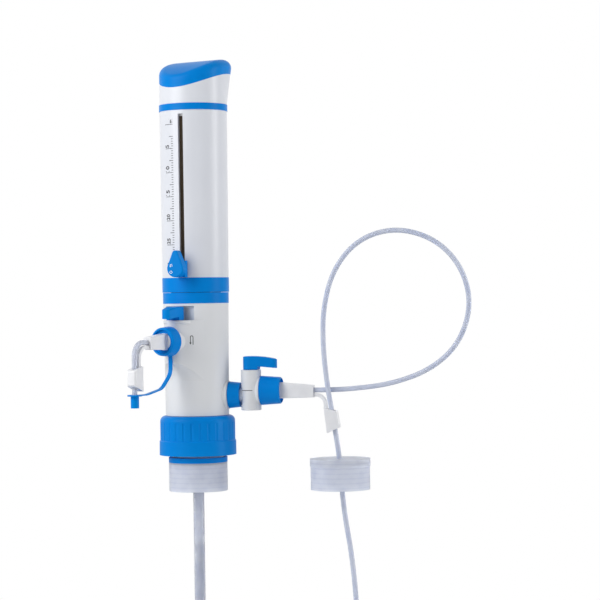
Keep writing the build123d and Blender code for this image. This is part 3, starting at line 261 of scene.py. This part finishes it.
def makeCeramic():
    # polished alumina valve ball
    material, tree, shader, coordinates = newMaterial(
        "polished alumina", {"IOR": 1.76, "Coat Weight": 0.4, "Coat Roughness": 0.05})
    addTone(tree, shader, coordinates, {"size": 4 * mm, "dark": "#E6E4DE", "light": "#F0EEEA"})
    addSkin(tree, shader, coordinates,
            {"grain": 0.5 * mm, "smooth": 0.10, "rough": 0.16, "relief": 0.1, "depth": 0.01 * mm})
    return material


def makeInk(name, dark, light):
    # pad-printed ink, also used for the painted highlight on the knob's engraved icons: thin, matt, a little
    # uneven where the pad lifted
    material, tree, shader, coordinates = newMaterial(name, {"IOR": 1.5, "Specular IOR Level": 0.3})
    addTone(tree, shader, coordinates, {"size": 1.5 * mm, "dark": dark, "light": light})
    addSkin(tree, shader, coordinates,
            {"grain": 0.3 * mm, "smooth": 0.45, "rough": 0.6, "relief": 0.2, "depth": 0.01 * mm})
    return material


glossWhite = makeGlossWhite()
greyBody = makeGreyBody()
blue = makeBlue()
milkyArm = makeMilkyArm()
adapterPlastic = makeAdapter()
tubing = makeTubing()
clearTube = makeClearTube()
glass = makeGlass()
smokedGuard = makeSmokedGuard()
fluoropolymer = makeFluoropolymer()
sealRubber = makeSeal()
steel = makeSteel()
ceramic = makeCeramic()
greyInk = makeInk("grey print", "#4A4B52", "#5A5B62")
blackInk = makeInk("black print", "#1C1C20", "#2A2A2E")
# the knob's engraved icons are made white here: this is painted highlight, not print
knobHighlightWhite = makeInk("white of painted knob highlights", "#E4ECF6", "#F4F8FC")
print("materials made")

finishes = {
    "housing_sleeve": glossWhite,
    "lower_body": greyBody,
    "nozzle_arm": milkyArm,
    "inlet_arm": milkyArm,
    "stopcock_body": greyBody,
    "bottle_adapter": adapterPlastic,
    "adapter_spigot": adapterPlastic,
    "second_adapter": adapterPlastic,
    "inlet_tube": tubing,
    "nozzle_tube": clearTube,
    "intake_tube_upper": clearTube,
    "intake_tube_lower": tubing,
    "glass_barrel": glass,
    "barrel_guard": smokedGuard,
    "piston_rod": steel,
    "rod_nut": steel,
    "slider_clamp_screw": steel,
    "discharge_spring": steel,
    "suction_ball": ceramic,
    "discharge_ball": ceramic,
}
for name in ("housing_bottom_ring", "accent_ring", "top_cap", "body_top_ring", "side_coupling_ring",
             "inlet_nut", "recirculation_lever", "stopcock_lever", "slider_knob", "slider_carriage",
             "collar_nut", "base_ring", "nozzle_nut", "nozzle_cap", "tether_ring", "tether_strap"):
    finishes[name] = blue
for name in ("valve_block", "recirculation_plug", "stopcock_plug", "discharge_duct", "inlet_duct",
             "suction_valve_seat", "piston_head", "slider_clamp_shoe", "guard_stop_ring", "barrel_cap"):
    finishes[name] = fluoropolymer
for name in ("barrel_seal", "body_seal", "adapter_gasket", "second_gasket", "piston_seal"):
    finishes[name] = sealRubber
for name, node in nodes.items():
    node.data.materials.clear()
    node.data.materials.append(finishes[name])
print("finishes put on the frame")


# ---- helpers for new pieces ----
def newPiece(name, bm, material, body):
    mesh = bpy.data.meshes.new(name)
    bm.to_mesh(mesh)
    bm.free()
    piece = bpy.data.objects.new(name, mesh)
    bpy.context.scene.collection.objects.link(piece)
    mesh.materials.append(material)
    if body:
        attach(piece, body)
    return piece


def cleanCopy(nodeName):
    # the node's solid with its loose triangles joined, ready to be worked on
    bm = bmesh.new()
    bm.from_mesh(nodes[nodeName].data)
    bmesh.ops.remove_doubles(bm, verts=bm.verts, dist=0.001 * mm)
    return bm


# ---- second inlet's tube ----
inletTube = {
    "diameter": 4.2 * mm,
    "length": 679.2 * mm,
    "exit": (99.7, 0.0, 62.0),  # where it leaves the arm, as the route's points
    # control points, mm: outwards along the inlet, towards the front, up
    "route": [
        (90.0, 0.0, 62.0),
        (108.0, 0.0, 62.0),
        (131.7, -2.8, 62.7),
        (164.7, -3.0, 66.6),
        (197.7, -0.8, 78.2),
        (222.0, 3.0, 99.5),
        (232.8, 6.0, 131.0),
        (225.9, 8.0, 162.0),
        (204.5, 9.0, 185.5),
        (172.1, 9.0, 195.5),
        (140.7, 8.7, 187.0),
        (119.3, 8.4, 163.0),
        (109.9, 7.9, 131.0),
        (109.2, 7.3, 98.0),
        (111.9, 5.3, 66.5),
        (115.7, -0.3, 37.5),
        (120.7, -0.5, 5.0),
        (122.9, -0.6, -35.0),
        (130.5, -0.5, -80.0),
        (134.0, 0.0, -130.0),
        (136.0, 0.0, -180.0),
    ],
}


def inletPoint(out, side, up):
    along = outwards(directions["inlet"])
    front = outwards(directions["inlet"] - 90)
    return (along * out + front * side + Vector((0, 0, up))) * mm


def makeInletTube():
    data = bpy.data.curves.new("inletTube", "CURVE")
    data.dimensions = "3D"
    spline = data.splines.new("NURBS")
    spline.points.add(len(inletTube["route"]) - 1)
    for point, place in zip(spline.points, inletTube["route"]):
        point.co = (*inletPoint(*place), 1)
    spline.order_u = 3
    spline.use_endpoint_u = True
    spline.resolution_u = 12
    data.bevel_depth = inletTube["diameter"] / 2
    data.bevel_resolution = 5
    data.use_fill_caps = True
    data.materials.append(tubing)
    piece = bpy.data.objects.new("inletTube", data)
    bpy.context.scene.collection.objects.link(piece)
    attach(piece, "base")
    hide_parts("inlet_tube")


makeInletTube()
print("inlet tube laid")


# ---- cap's tether ----
tether = {
    "cut": 1.5 * mm,  # length of each part the strap is cut into along Y
    "ringEnd": (0.0, -38.1 * mm, 93.3 * mm),
    "capEnd": (0.0, -82.0 * mm, 61.9 * mm),
}


def makeTether():
    bm = cleanCopy("tether_strap")
    bmesh.ops.dissolve_limit(bm, angle_limit=radians(1), verts=bm.verts, edges=bm.edges)
    low = min(v.co.y for v in bm.verts)
    high = max(v.co.y for v in bm.verts)
    for step in range(1, int((high - low) / tether["cut"])):
        everything = bm.verts[:] + bm.edges[:] + bm.faces[:]
        bmesh.ops.bisect_plane(bm, geom=everything, plane_co=(0, low + step * tether["cut"], 0),
                               plane_no=(0, 1, 0))
    bmesh.ops.triangulate(bm, faces=[f for f in bm.faces if len(f.verts) > 4])
    piece = newPiece("tether", bm, blue, None)
    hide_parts("tether_strap")
    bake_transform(piece)


makeTether()


def makeSpring():
    bm = cleanCopy("discharge_spring")
    piece = newPiece("spring", bm, steel, None)
    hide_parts("discharge_spring")
    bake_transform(piece)


makeSpring()
print("spring placed")


# ---- printed marks ----
prints = {
    "thickness": 0.06 * mm,
    "edge": -93.0,  # degrees, where the scale's marks begin beside the slot
    "zero": 284.3 * mm,
    "perMillilitre": 4.0 * mm,
    "first": 2.5,
    "last": 30.0,
    "lineWidth": 0.5 * mm,
    "short": 2.0 * mm,
    "middle": 4.4 * mm,
    "long": 9.1 * mm,
    "figureHeight": 4.6 * mm,
    "figureLength": 2.4 * mm,  # of one figure
    "figureGap": 0.7 * mm,
    "unitHeight": 3.9 * mm,
    "unitLength": 3.7 * mm,
    "unitIn": 0.2 * mm,
    "unitUp": 1.0 * mm,
    "bold": 0.025,  # how far the letters' outlines are grown, of their size
}


def newBar(length, width, cuts):
    # a thin bar from the origin along X, cut so that it can be bent round a cylinder
    bm = bmesh.new()
    bmesh.ops.create_cube(bm, size=1.0)
    bmesh.ops.translate(bm, verts=bm.verts, vec=(0.5, 0, 0))
    bmesh.ops.scale(bm, verts=bm.verts, vec=(length, width, prints["thickness"]))
    along = [e for e in bm.edges if abs(e.verts[0].co.x - e.verts[1].co.x) > length / 2]
    bmesh.ops.subdivide_edges(bm, edges=along, cuts=cuts, use_grid_fill=True)
    return bm


def newStroke(stroke):
    # the end face of a thin stroke, ready to be drawn out along Y or spun
    bm = bmesh.new()
    bmesh.ops.create_grid(bm, x_segments=1, y_segments=1, size=0.5)
    bmesh.ops.rotate(bm, verts=bm.verts, cent=(0, 0, 0), matrix=Matrix.Rotation(radians(90), 3, "X"))
    bmesh.ops.scale(bm, verts=bm.verts, vec=(stroke, 1, prints["thickness"]))
    return bm


def drawnOut(bm, faces, vec):
    # pulls a stroke's end face along, and returns the new end face
    grown = bmesh.ops.extrude_face_region(bm, geom=faces)["geom"]
    bmesh.ops.translate(bm, verts=[g for g in grown if isinstance(g, bmesh.types.BMVert)], vec=vec)
    return [g for g in grown if isinstance(g, bmesh.types.BMFace)]


def addHead(bm, place, size, turn):
    head = bmesh.ops.create_cone(bm, cap_ends=True, segments=3, radius1=size, radius2=size,
                                 depth=prints["thickness"])["verts"]
    bmesh.ops.rotate(bm, verts=head, cent=(0, 0, 0), matrix=Matrix.Rotation(radians(turn), 3, "Z"))
    bmesh.ops.translate(bm, verts=head, vec=place)


def newHook(height, width, stroke):
    # a stroke that goes up, bends over to the left and comes down again to an arrowhead
    bm = newStroke(stroke)
    top = drawnOut(bm, bm.faces[:], (0, height, 0))
    rim = top + [e for f in top for e in f.edges] + [v for f in top for v in f.verts]
    spun = bmesh.ops.spin(bm, geom=rim, cent=(width / 2, height, 0), axis=(0, 0, 1), angle=radians(-180),
                          steps=10)["geom_last"]
    drawnOut(bm, [g for g in spun if isinstance(g, bmesh.types.BMFace)], (0, -0.75 * height, 0))
    addHead(bm, (width, 0.2 * height, 0), 1.8 * stroke, 180)
    return bm


def newRing(ringR, stroke):
    bm = newStroke(stroke)
    bmesh.ops.translate(bm, verts=bm.verts, vec=(ringR, 0, 0))
    bmesh.ops.spin(bm, geom=bm.verts[:] + bm.edges[:] + bm.faces[:], cent=(0, 0, 0), axis=(0, 0, 1),
                   angle=radians(360), steps=20, use_merge=True)
    inside = [f for f in bm.faces if all(abs(v.co.y) < 1e-7 for v in f.verts)]
    bmesh.ops.delete(bm, geom=inside, context="FACES_ONLY")
    return bm


def newArrow(length, stroke):
    bm = newBar(length, stroke, 12)
    addHead(bm, (length, 0, 0), 2.4 * stroke, -90)
    return bm


def newWords(words, length, height):
    # text as a thin solid, reading upwards, its foot on X = 0 and its start on Y = 0
    data = bpy.data.curves.new("words", "FONT")
    data.body = words
    data.extrude = prints["thickness"] / 2
    data.resolution_u = 4
    data.offset = prints["bold"]
    holder = bpy.data.objects.new("words", data)
    bpy.context.scene.collection.objects.link(holder)
    bm = bmesh.new()
    bm.from_mesh(bpy.data.meshes.new_from_object(holder.evaluated_get(bpy.context.evaluated_depsgraph_get())))
    bpy.data.objects.remove(holder)
    bmesh.ops.remove_doubles(bm, verts=bm.verts, dist=1e-6)
    low = Vector([min(v.co[i] for v in bm.verts) for i in range(2)] + [0])
    high = Vector([max(v.co[i] for v in bm.verts) for i in range(2)] + [0])
    bmesh.ops.translate(bm, verts=bm.verts, vec=-low)
    bmesh.ops.scale(bm, verts=bm.verts, vec=(length / (high - low).x, height / (high - low).y, 1))
    # turned to read upwards; X grows to the left on the surface, so the tops of the letters go that way
    swapped = Matrix(((0, 1, 0, 0), (1, 0, 0, 0), (0, 0, 1, 0), (0, 0, 0, 1)))
    bmesh.ops.transform(bm, verts=bm.verts, matrix=swapped)
    return bm


def moved(bm, along, up, turn=0.0):
    bmesh.ops.rotate(bm, verts=bm.verts, cent=(0, 0, 0), matrix=Matrix.Rotation(radians(turn), 3, "Z"))
    bmesh.ops.translate(bm, verts=bm.verts, vec=(along, up, 0))
    return bm


def joined(parts):
    whole = bmesh.new()
    for part in parts:
        mesh = bpy.data.meshes.new("part")
        part.to_mesh(mesh)
        part.free()
        whole.from_mesh(mesh)
        bpy.data.meshes.remove(mesh)
    return whole


def laidOn(bm, nodeName, angle, radius=None, centre=Vector((0, 0, 0)), standOff=60 * mm):
    # X runs along the surface to the left as it is faced, Y up, Z out of it; radius bends it round a cylinder
    mesh = nodes[nodeName].data
    surface = BVHTree.FromPolygons([v.co for v in mesh.vertices], [p.vertices for p in mesh.polygons])
    reach = (radius or 0) + standOff
    for vert in bm.verts:
        along, up, depth = vert.co
        facing = outwards(angle - degrees(along / radius)) if radius else outwards(angle)
        start = centre + facing * reach + Vector((0, 0, up))
        if not radius:
            start -= outwards(angle + 90) * along
        found = surface.ray_cast(start, -facing)[0]
        vert.co = found + facing * depth
    bmesh.ops.recalc_face_normals(bm, faces=bm.faces)
    return bm


def makeScale():
    sleeveR = 0.5 * (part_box("accent_ring")[1].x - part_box("accent_ring")[0].x)
    bars = []
    figures = [moved(newWords("ml", prints["unitLength"], prints["unitHeight"]), prints["unitIn"],
                     prints["zero"] + prints["unitUp"])]
    steps = [0.0] + [0.5 * n for n in range(int(2 * prints["first"]), int(2 * prints["last"]) + 1)]
    for amount in steps:
        height = prints["zero"] - prints["perMillilitre"] * amount
        kind = "long" if amount % 5 == 0 else "middle" if amount % 2.5 == 0 else "short"
        bars.append(moved(newBar(prints[kind], prints["lineWidth"], 5), 0, height))
        if amount and amount % 5 == 0:
            words = str(int(amount))
            figures.append(moved(newWords(words, prints["figureLength"] * len(words), prints["figureHeight"]),
                                 prints["long"] - prints["figureHeight"], height + prints["figureGap"]))
    lines = laidOn(joined(bars), "housing_sleeve", prints["edge"], sleeveR)
    newPiece("scaleLines", lines, greyInk, "housing")
    words = laidOn(joined(figures), "housing_sleeve", prints["edge"], sleeveR)
    newPiece("scaleFigures", words, blackInk, "housing")


makeScale()

# ---- marks on the valves and the slider's knob ----
marks = {
    "returnHeight": 6.2 * mm,
    "returnWidth": 2.3 * mm,
    "returnStroke": 0.6 * mm,
    "returnFacing": -38.8,  # degrees, the flat side of the nose
    "returnAlong": 11.0 * mm,
    "returnFoot": 101.4 * mm,
    "flowFrom": -50.0,  # degrees
    "flowLength": 10.6 * mm,
    "flowStroke": 0.5 * mm,
    "flowHeight": 62.3 * mm,
    "stopcockAt": 46.4 * mm,
    "stopcockR": 8.4 * mm,
    "stopcockReach": 1.2 * mm,
    "knobHeight": 164.3 * mm,
    "knobStroke": 0.45 * mm,
    "knobRing": 1.0 * mm,
    "knobRingAt": (3.4 * mm, -3.0 * mm),  # to the left of the knob's middle, and up
    "knobHook": (1.2 * mm, 1.5 * mm),  # height and width
    "knobHookAt": (2.4 * mm, 1.6 * mm),
}


def makeMarks():
    back = newHook(marks["returnHeight"], marks["returnWidth"], marks["returnStroke"])
    back = laidOn(moved(back, marks["returnAlong"], marks["returnFoot"]), "lower_body", marks["returnFacing"])
    newPiece("returnMark", back, blackInk, "base")
    flow = moved(newArrow(marks["flowLength"], marks["flowStroke"]), 0, marks["flowHeight"])
    flow = laidOn(flow, "stopcock_body", marks["flowFrom"], marks["stopcockR"],
                  outwards(directions["inlet"]) * marks["stopcockAt"], marks["stopcockReach"])
    newPiece("flowMark", flow, blackInk, "base")
    # the knob's two marks follow its engraved lock icons, and their white is painted highlight
    along, up = marks["knobRingAt"]
    closed = moved(newRing(marks["knobRing"], marks["knobStroke"]), along, marks["knobHeight"] + up)
    along, up = marks["knobHookAt"]
    opened = moved(newHook(*marks["knobHook"], marks["knobStroke"]), along, marks["knobHeight"] + up)
    knob = laidOn(joined([closed, opened]), "slider_knob", directions["slot"])
    newPiece("knobMarks", knob, knobHighlightWhite, "slider_clamp")


makeMarks()
print("marks printed")

# ---- camera, light and floor ----
view = {
    "distance": 1.80,
    "width": 0.504,  # m, what the frame shows across, at the main axis
    "right": 87.4 * mm,  # how far the frame's centre lies right of the main axis
    "height": 137.0 * mm,
    "roll": -0.0145,
    "sensor": 36.0,
}
lamps = {
    # degrees round the axis, then height, distance, width, length in metres, and watts
    "keyLamp": (-112.0, 0.75, 1.2, 1.0, 1.1, 14.4),
    "sideLamp": (22.0, 0.35, 1.2, 0.4, 1.2, 7.4),
}
lampAim = Vector((0.05, 0.03, 0.12))
floorRadius = 6.0
floorGap = 0.5 * mm  # below the intake tube's foot
floorGlow = {"from": 0.25, "to": 0.6, "least": 0.8}  # reach in metres, and the share at its middle
worldStrength = {"lit": 0.27, "seen": 1.0}


def makeCamera():
    away = outwards(directions["camera"])
    right = outwards(directions["camera"] + 90)
    target = right * view["right"] + Vector((0, 0, view["height"]))
    data = bpy.data.cameras.new("camera")
    data.sensor_width = view["sensor"]
    data.lens = view["sensor"] * view["distance"] / view["width"]
    camera = bpy.data.objects.new("camera", data)
    bpy.context.scene.collection.objects.link(camera)
    turn = away.to_track_quat("Z", "Y").to_matrix().to_4x4()
    camera.matrix_world = Matrix.Translation(target + away * view["distance"]) @ turn @ Matrix.Rotation(
        view["roll"], 4, "Z")
    bpy.context.scene.camera = camera


def makeLamp(name, angle, height, distance, width, tall, watts):
    data = bpy.data.lights.new(name, "AREA")
    data.shape = "RECTANGLE"
    data.size = width
    data.size_y = tall
    data.energy = watts
    lamp = bpy.data.objects.new(name, data)
    bpy.context.scene.collection.objects.link(lamp)
    place = outwards(angle) * distance + Vector((0, 0, height))
    turn = (place - lampAim).to_track_quat("Z", "Y").to_matrix().to_4x4()
    lamp.matrix_world = Matrix.Translation(place) @ turn


def makeFloor():
    bm = bmesh.new()
    bmesh.ops.create_circle(bm, cap_ends=True, segments=64, radius=floorRadius)
    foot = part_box("intake_tube_lower")[0].z
    bmesh.ops.translate(bm, verts=bm.verts, vec=(0, 0, foot - floorGap))
    mesh = bpy.data.meshes.new("floor")
    bm.to_mesh(mesh)
    bm.free()
    floor = bpy.data.objects.new("floor", mesh)
    bpy.context.scene.collection.objects.link(floor)
    # matt white painted board, which the camera sees nearly as bright as the backdrop
    material, tree, shader, coordinates = newMaterial("white board", {"Roughness": 0.9})
    shader.inputs["Base Color"].default_value = linear("#F4F4F4")
    rays = addNode(tree, "ShaderNodeLightPath")
    seen = addNode(tree, "ShaderNodeMath", {"operation": "MAXIMUM"},
                   {0: (rays, "Is Camera Ray"), 1: (rays, "Is Transmission Ray")})
    reach = addNode(tree, "ShaderNodeVectorMath", {"operation": "LENGTH"}, {0: (coordinates, "Object")})
    fade = addNode(tree, "ShaderNodeMapRange",
                   {"From Min": floorGlow["from"], "From Max": floorGlow["to"], "To Min": floorGlow["least"]},
                   {"Value": (reach, "Value")})
    share = addNode(tree, "ShaderNodeMath", {"operation": "MULTIPLY"},
                    {0: (seen, "Value"), 1: (fade, "Result")})
    glow = addNode(tree, "ShaderNodeEmission", {"Color": (1, 1, 1, 1), "Strength": 1.0})
    mix = addNode(tree, "ShaderNodeMixShader",
                  links={0: (share, "Value"), 1: (shader, "BSDF"), 2: (glow, "Emission")})
    output = [n for n in tree.nodes if n.type == "OUTPUT_MATERIAL"][0]
    tree.links.new(mix.outputs["Shader"], output.inputs["Surface"])
    mesh.materials.append(material)


def makeWorld():
    world = bpy.data.worlds.new("studio")
    bpy.context.scene.world = world
    world.use_nodes = True
    tree = world.node_tree
    tree.nodes.clear()
    rays = addNode(tree, "ShaderNodeLightPath")
    seen = addNode(tree, "ShaderNodeMath", {"operation": "MAXIMUM"},
                   {0: (rays, "Is Camera Ray"), 1: (rays, "Is Glossy Ray")})
    shown = addNode(tree, "ShaderNodeMath", {"operation": "MAXIMUM"},
                    {0: (seen, "Value"), 1: (rays, "Is Transmission Ray")})
    strength = addNode(tree, "ShaderNodeMapRange",
                       {"To Min": worldStrength["lit"], "To Max": worldStrength["seen"]},
                       {"Value": (shown, "Value")})
    sky = addNode(tree, "ShaderNodeBackground", {"Color": (1, 1, 1, 1)}, {"Strength": (strength, "Result")})
    addNode(tree, "ShaderNodeOutputWorld", links={"Surface": (sky, "Background")})


makeCamera()
for name, setting in lamps.items():
    makeLamp(name, *setting)
makeFloor()
makeWorld()
bpy.context.scene.view_settings.view_transform = "Standard"
print("camera, lamps and floor set")
